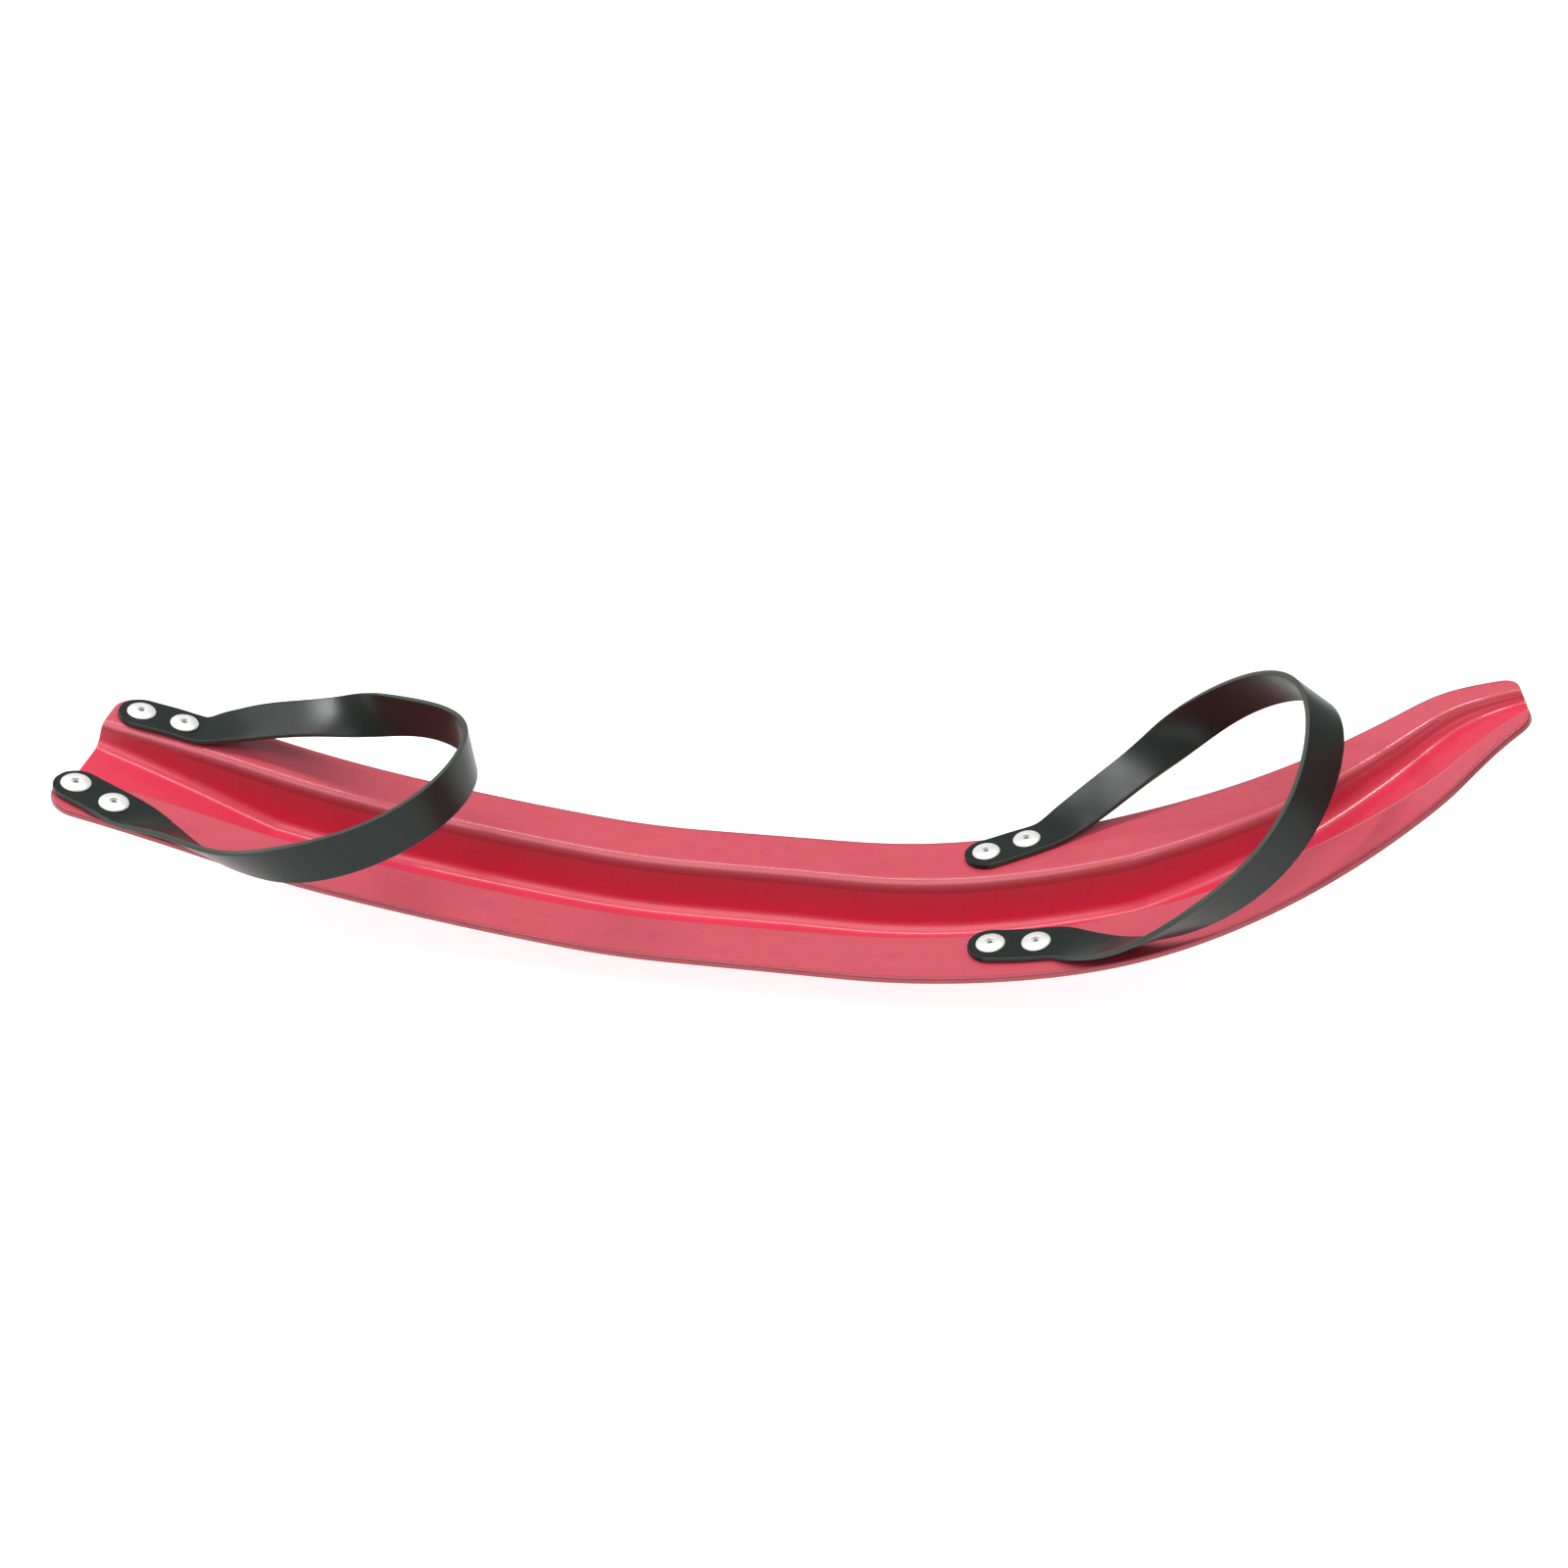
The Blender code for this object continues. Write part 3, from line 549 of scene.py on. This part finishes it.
def strap_end(side, first, outward_by, turn_degrees):
    """Start, forward way and outer side of a strap end, in (distance along the shoe, y across it)."""
    sign, turn = SIDES[side], math.radians(turn_degrees)
    middle = float(half_width(first)) - float(flange_width(first)) / 2
    return (np.array([first, sign * (middle + outward_by)]),
            np.array([math.cos(turn), sign * math.sin(turn)]), np.array([-math.sin(turn), sign * math.cos(turn)]))


def on_end(end, distance, lift, aside=0.0):
    """A point of a strap end: so far along it from its first rivet, and so far toward its outer edge."""
    start, way, out = end
    s, y = start + distance * way + aside * out
    return on_flange(s, y, lift)


ends = {label: {side: strap_end(side, *values) for side, values in pair.items()} for label, pair in ENDS.items()}
print("first rivets at", {k: [round(float(e[0][0]), 3) for e in pair.values()] for k, pair in ends.items()})

# %% The band's route
LOOPS = {
    "front": (((18.5, -1.23, 1.4), (-0.40, -0.95, 0.07)), ((64.5, -1.53, 7.3), (-0.57, -0.53, 0.53)),
              ((110, -1.16, 24.2), (-0.67, -0.21, 0.75)), ((123, 0.15, 54.1), (-0.79, -0.04, 0.52)),
              ((85.5, 1.16, 41.5), (-0.74, -0.02, 0.79)), ((46.5, 1.35, 20.5), (-0.37, 0.72, 0.19)),
              ((12, 1.14, 3.2), (-0.47, 0.91, 0.17))),
    "rear": (((29.5, -1.43, 5.0), (-0.45, -0.76, 0.79)), ((75.5, -1.99, 23.7), (-0.41, -0.22, 0.52)),
             ((154.5, -1.42, 50.4), (-0.26, -0.06, 1.06)), ((173, 0.07, 62.5), (-0.20, 0.21, 0.92)),
             ((121.5, 0.95, 43.4), (-0.11, -0.02, 0.92)), ((66, 1.24, 23.5), (0.03, 0.93, 0.38)),
             ((20, 1.11, 7.7), (-0.36, 0.84, 0.21))),
}


EASE, EASE_SAMPLES = 18 * MM, 9


def flex_place(pair):
    """Where the band is first free to bend: just ahead of the forward rivets' heads."""
    forward = max(float(start[0] + RIVET_PITCH * way[0]) for start, way, _ in pair.values())
    return forward + RIVET_HEAD / 2 + FLEX_BEHIND_HEAD


def band_route(pair, loop):
    """Knots of the band: distance along it, its centre line, and the way its upper edge points.

    A loop station lies so far forward of the flex line, at a share of the half distance between the ends, and
    with its lower edge so far above the flange line under that edge.
    """
    lift = SEAT_GAP + BAND_THICK / 2
    flex_x = float(on_flange(flex_place(pair), 0.0, 0.0)[0])
    near_y, far_y = (float(on_end(pair[side], RIVET_PITCH * 1.5, lift)[1]) for side in SIDES)
    flat = (-BAND_WIDTH / 2, 0.0, RIVET_PITCH, RIVET_PITCH + FLAT_AHEAD)

    def lying(side):
        end = pair[side]
        edges = [on_end(end, d, 0.0, MM) - on_end(end, d, 0.0, -MM) for d in flat]
        return [on_end(end, d, lift) for d in flat], [unit(edge) for edge in edges]

    points, across = lying("near")
    for (forward, spread, clear), way in loop:
        edge, x = unit(np.array(way)), flex_x + forward * MM
        lower_z = float(np.interp(x - BAND_WIDTH / 2 * edge[0], KEEL_X, KEEL_Z))
        height = lower_z + clear * MM + BAND_WIDTH / 2 * edge[2]
        points.append(np.array([x, (near_y + far_y) / 2 + spread * (far_y - near_y) / 2, height]))
        across.append(np.array(way))
    far_points, far_across = lying("far")
    points, across = np.array(points + far_points[::-1]), np.array(across + far_across[::-1])
    knots = np.concatenate([[0], np.cumsum(np.linalg.norm(np.diff(points, axis=0), axis=1))])
    return knots, points, across


def band_frames(route, at):
    """Centre, edge direction and face normal of the band at these places along it, each square to the next.

    Rubber cannot turn sharply, so in the loop each value is the mean of the spline over EASE to either side.
    The reach of that mean grows from nothing where the flat end stops.
    """
    knots, points, across = route

    def eased(values, place):
        free = np.minimum(place, knots[-1] - place) - knots[3]
        reach = np.clip(free, 0, EASE)[:, None] * np.linspace(-1, 1, EASE_SAMPLES)
        around_place = spline(knots, values, (place[:, None] + reach).ravel())
        return around_place.reshape(len(place), EASE_SAMPLES, 3).mean(1)

    step = 0.5 * MM
    way = unit(eased(points, at + step) - eased(points, at - step))
    edge = eased(across, at)
    edge = unit(edge - way * np.sum(edge * way, axis=1)[:, None])
    return eased(points, at), edge, np.cross(way, edge)


routes = {label: band_route(ends[label], LOOPS[label]) for label in ends}
print("band lengths:", {label: round(float(route[0][-1]), 4) for label, route in routes.items()})

# %% A band as one closed surface
BAND_EDGE, BAND_STEPS, BAND_ACROSS = 0.7 * MM, 330, 25
LIP_START, TIP_START, TIP_STEPS = 0.18, 22, 16


def band_piece(label):
    """A rounded rectangle carried along the route, its width closing to a half circle at both ends.

    Half width is sqrt(r^2 - (r - d)^2) at distance d from an end, and the thickness closes with the same lip
    as the edges, so the round end is softened too.
    """
    route, radius = routes[label], BAND_WIDTH / 2
    length = float(route[0][-1])
    lip_turn = np.linspace(LIP_START, math.pi / 2, RIM_STEPS)
    near = np.concatenate([BAND_EDGE * (1 - np.cos(lip_turn)), around_corner(radius, TIP_START, TIP_STEPS)])
    at = np.concatenate([near, np.linspace(radius, length - radius, BAND_STEPS)[1:-1], length - near[::-1]])
    nearest = np.minimum(at, length - at)
    half = np.sqrt(radius**2 - np.maximum(0, radius - nearest) ** 2)
    inward = np.clip(1 - nearest / BAND_EDGE, 0, 1)
    squeezed = BAND_EDGE * (1 - np.sqrt(1 - inward**2))
    edge_bulge = np.minimum(BAND_EDGE, half / 2)
    share = np.linspace(1, -1, BAND_ACROSS)[None, :]
    across = (half - edge_bulge)[:, None] * share
    thick = (BAND_THICK / 2 - squeezed)[:, None] + 0 * across
    loops = close_section(np.stack([across, thick], -1), np.stack([across, -thick], -1), edge_bulge)
    line, edge, normal = band_frames(route, at)
    points = line[:, None] + loops[..., :1] * edge[:, None] + loops[..., 1:] * normal[:, None]
    uv = np.stack([np.repeat(at[:, None], loops.shape[1], 1), loops[..., 0]], -1).reshape(-1, 2)
    return piece_from(f"{label}_strap_band", points,
                      tube_faces(len(at), loops.shape[1], loops.shape[1] - RIM_HALF), rubber, uv=uv)


# %% [markdown]
# A band is fastened at its ends and free in its loop. Behind the flex line its shape follows the shoe, ahead of
# it the loop, and it turns smoothly between; the hinge point there is only worked out and printed.

for label in routes:
    band = band_piece(label)
    hinge = on_flange(flex_place(ends[label]), 0.0, SEAT_GAP + BAND_THICK / 2 + HINGE_RISE)
    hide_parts(f"{label}_strap_loop", f"{label}_strap_near_end", f"{label}_strap_far_end")
    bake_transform(band)
    print(label, "hinge at", hinge.round(4))

# %% [markdown]
# ## The fasteners
#
# A large-flange blind rivet has a wide low dome, a hole in its middle and the broken stub of its mandrel inside.
# Under the flange a washer spreads the pull, and the shank's end is swollen where it was set. All three are
# turned shapes: a profile of radius and height, swept once around the rivet's axis.

# %% A turned piece, standing on the flange
ROUND = 56


def stand(label, side, distance):
    """Centre and axes of a fastener: the flange line's own direction, across, and straight up from the flange."""
    start, way, _ = ends[label][side]
    s = float((start + distance * way)[0])
    tilt = float(np.interp(s, KEEL_S, KEEL_SLOPE))
    forward = np.array([math.cos(tilt), 0, math.sin(tilt)])
    up = np.array([-math.sin(tilt), 0, math.cos(tilt)])
    return on_end(ends[label][side], distance, 0.0), forward, np.array([0.0, 1.0, 0.0]), up


def turned(name, profile, place, material, closed):
    """Points are centre + r cos t forward + r sin t across + height up. A closed profile makes a ring."""
    centre, forward, across, up = place
    r, height = np.array(profile, float).T
    t = np.linspace(0, 2 * math.pi, ROUND, endpoint=False)[None, :, None]
    circle = np.cos(t) * forward + np.sin(t) * across
    points = centre + r[:, None, None] * circle + height[:, None, None] * up
    faces = grid_faces(len(r), ROUND, closed, True) if closed else tube_faces(len(r), ROUND)
    return piece_from(name, points, faces, material, smooth_angle=50)


SEAT = SEAT_GAP + BAND_THICK + SEAT_GAP
HEAD_HEIGHT, HEAD_RIM, HEAD_DIMPLE = 2.2 * MM, 0.55 * MM, 0.30 * MM
HEAD_SOFT, HEAD_UNDERCUT, HEAD_FOOT, HEAD_STEPS = 0.35 * MM, 0.15 * MM, 0.06 * MM, 22
MOUTH, MOUTH_DEPTH, MOUTH_TAPER, MOUTH_FOOT, MOUTH_LIP = 2.3 * MM, 1.25 * MM, 0.15 * MM, 0.1 * MM, 0.12 * MM
SHANK, BORE, BORE_EASE, SET_WIDTH, SET_LENGTH = 2.4 * MM, 1.5 * MM, 0.2 * MM, 3.6 * MM, 4.6 * MM
WASHER_TOP, WASHER_THICK, WASHER_RADIUS = -WALL - SEAT_GAP, 1.2 * MM, 6 * MM
WASHER_CLEARANCE, WASHER_EASE = 0.35 * MM, 0.15 * MM
SET_TOP = WASHER_TOP - WASHER_THICK - SEAT_GAP
SET_END = SET_TOP - SET_LENGTH
STUB_BELOW_CROWN, STUB, STUB_BALL, STUB_BALL_RISE, PINHOLE = 1.1 * MM, 1.35 * MM, 2.2 * MM, 1.3 * MM, 0.05 * MM


def rivet_profile():
    """The head is a low dome, rim + (height - rim)(1 - (r/R)^2.4), less a dimple by the bore. Below is the shank."""
    head = RIVET_HEAD / 2
    r = np.linspace(MOUTH, head - HEAD_SOFT, HEAD_STEPS)
    dome = SEAT + HEAD_RIM + (HEAD_HEIGHT - HEAD_RIM) * (1 - (r / head) ** 2.4)
    dome = dome - HEAD_DIMPLE * np.exp(-((r / (2.8 * MM)) ** 4))
    turn = np.linspace(0.2, math.pi / 2, 5)
    rim = [(head - HEAD_SOFT * (1 - math.sin(a)), SEAT + HEAD_RIM * math.cos(a) * 0.9 + HEAD_FOOT) for a in turn]
    outside = list(zip(r, dome)) + rim + [(head - HEAD_UNDERCUT, SEAT), (SHANK, SEAT), (SHANK, SET_TOP)]
    bulb = [(SHANK + (SET_WIDTH - SHANK) * math.sin(a), SET_TOP - SET_LENGTH * (1 - math.cos(a)) / 2)
            for a in np.linspace(0.35, math.pi - 0.25, 11)]
    return outside + bulb + [(BORE + BORE_EASE, SET_END), (BORE, SET_END + BORE_EASE),
                             (BORE, dome[0] - MOUTH_DEPTH), (MOUTH - MOUTH_TAPER, dome[0] - MOUTH_DEPTH + MOUTH_FOOT),
                             (MOUTH - MOUTH_FOOT, dome[0] - MOUTH_LIP)]


def mandrel_profile():
    """A stub with a torn, slightly hollow top, and a round head behind the set end.

    Both ends stop at a pinhole instead of the axis, so that every ring has real faces.
    """
    top, shaft, ball = SEAT + HEAD_HEIGHT - STUB_BELOW_CROWN, STUB, STUB_BALL
    under = SET_END - SEAT_GAP
    head = [(ball * math.sin(a), under - STUB_BALL_RISE * (1 - math.cos(a))) for a in np.linspace(math.pi / 2, 2.9, 7)]
    return [(PINHOLE, top - 0.22 * MM), (0.5 * MM, top - 0.2 * MM), (0.85 * MM, top), (shaft, top - 0.12 * MM),
            (shaft, under), (ball - 0.2 * MM, under)] + head + [(PINHOLE, under - 2 * STUB_BALL_RISE)]


def washer_profile():
    """A flat ring, its edges eased by a tenth of a millimetre or so."""
    hole, outer, ease, low = SHANK + WASHER_CLEARANCE, WASHER_RADIUS, WASHER_EASE, WASHER_TOP - WASHER_THICK
    return [(hole, WASHER_TOP - ease), (hole + ease, WASHER_TOP), (outer - ease, WASHER_TOP),
            (outer, WASHER_TOP - ease), (outer, low + ease), (outer - ease, low), (hole + ease, low),
            (hole, low + ease)]


KINDS = (("rivet", rivet_profile(), bright_aluminium, "rivet_metal", True),
         ("mandrel", mandrel_profile(), broken_steel, "mandrel_steel", False),
         ("washer", washer_profile(), zinc_plate, "washer_steel", True))
for label in ENDS:
    for side in SIDES:
        for order, distance in (("back", 0.0), ("front", RIVET_PITCH)):
            tag, place = f"{label}_{side}_{order}", stand(label, side, distance)
            for kind, profile, material, slot, closed in KINDS:
                piece = turned(f"{kind}_seen_{tag}", profile, place, material, closed)
                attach(piece, "shoe")
                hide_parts(f"{kind}_{tag}")
print("fasteners made:", 8 * len(KINDS))

# %% [markdown]
# ## Floor, light and camera
#
# The shoe stands on a pale floor lit through from below, as on a product table, so the ground stays white. A
# broad soft key lights it from above and in front. A long narrow panel overhead draws the thin bright line along
# the channel's far shoulder, and a small one at the tail end makes the one short highlight on each strap's far
# side. Nothing bright stands behind, because the flanges would mirror it and look bleached.

# %% Floor and sky
pale, shader, place = new_finish("pale_floor", specular_ior_level=0.0, emission_color=(1, 1, 1, 1),
                                 emission_strength=0.84)
connect(shader, noise(place, 3.0, 2.0).tint((0.56, 0.56, 0.56), (0.60, 0.60, 0.60)), "Base Color")
connect(shader, 0.86 + 0.06 * noise(place, 20.0, 2.0), "Roughness")
HALF_FLOOR, FLOOR_DROP, SKY = 40.0, 0.5 * MM, 0.42
floor_corners = HALF_FLOOR * np.array([[-1, -1, 0], [1, -1, 0], [1, 1, 0], [-1, 1, 0]]) - np.array([0, 0, FLOOR_DROP])
mesh = bpy.data.meshes.new("floor")
mesh.from_pydata(floor_corners.tolist(), [], [(0, 1, 2, 3)])
mesh.materials.append(pale)
floor = bpy.data.objects.new("floor", mesh)
scene.collection.objects.link(floor)

world = bpy.data.worlds.new("studio")
world.use_nodes = True
world.node_tree.nodes["Background"].inputs["Color"].default_value = (1.0, 1.0, 1.0, 1)
world.node_tree.nodes["Background"].inputs["Strength"].default_value = SKY
scene.world = world
scene.view_settings.view_transform = "Standard"
print("floor and sky ready")

# %% Lamps
KEY_STRENGTH, KEY_SPREAD, KEY_TIPPED, KEY_ASIDE = 0.85, 40, 24, -10
MIDDLE, BETWEEN_STRAPS = (0, 0, 0.05), (0, 0.06, 0.09)


def panel(name, at, toward, width, height, watts):
    """A rectangular lamp at a point, facing another."""
    lamp = bpy.data.lights.new(name, "AREA")
    lamp.shape, lamp.size, lamp.size_y, lamp.energy = "RECTANGLE", width, height, watts
    holder = bpy.data.objects.new(name, lamp)
    back = unit(np.array(at, float) - np.array(toward, float))
    side = unit(np.cross([0.0, 0.0, 1.0], back))
    turn = np.stack([side, np.cross(back, side), back], 1)
    holder.matrix_world = Matrix([[*turn[i], at[i]] for i in range(3)] + [[0, 0, 0, 1]])
    scene.collection.objects.link(holder)


key = bpy.data.objects.new("key", bpy.data.lights.new("key", "SUN"))
key.data.energy, key.data.angle = KEY_STRENGTH, math.radians(KEY_SPREAD)
key.rotation_euler = (math.radians(KEY_TIPPED), math.radians(KEY_ASIDE), 0)
scene.collection.objects.link(key)
panel("shoulder_line", (-0.05, 0.42, 1.35), MIDDLE, 1.6, 0.14, 9.0)
panel("strap_highlights", (-1.08, 0.24, 0.93), BETWEEN_STRAPS, 0.20, 0.30, 6.0)
print("lamps ready")

# %% Camera
RIGHT, UP, FORWARD = (0.9939, 0.1065, 0.0281), (-0.0822, 0.5475, 0.8327), (-0.0733, 0.8300, -0.5530)
LENS_AT, LENS, SENSOR = (0.0700, -0.8744, 0.6920), 44.7, 36.0
camera = bpy.data.objects.new("camera", bpy.data.cameras.new("camera"))
camera.data.lens, camera.data.sensor_width = LENS, SENSOR
camera.matrix_world = Matrix([[RIGHT[i], UP[i], -FORWARD[i], LENS_AT[i]] for i in range(3)] + [[0, 0, 0, 1]])
scene.collection.objects.link(camera)
scene.camera = camera
print("camera at", LENS_AT)
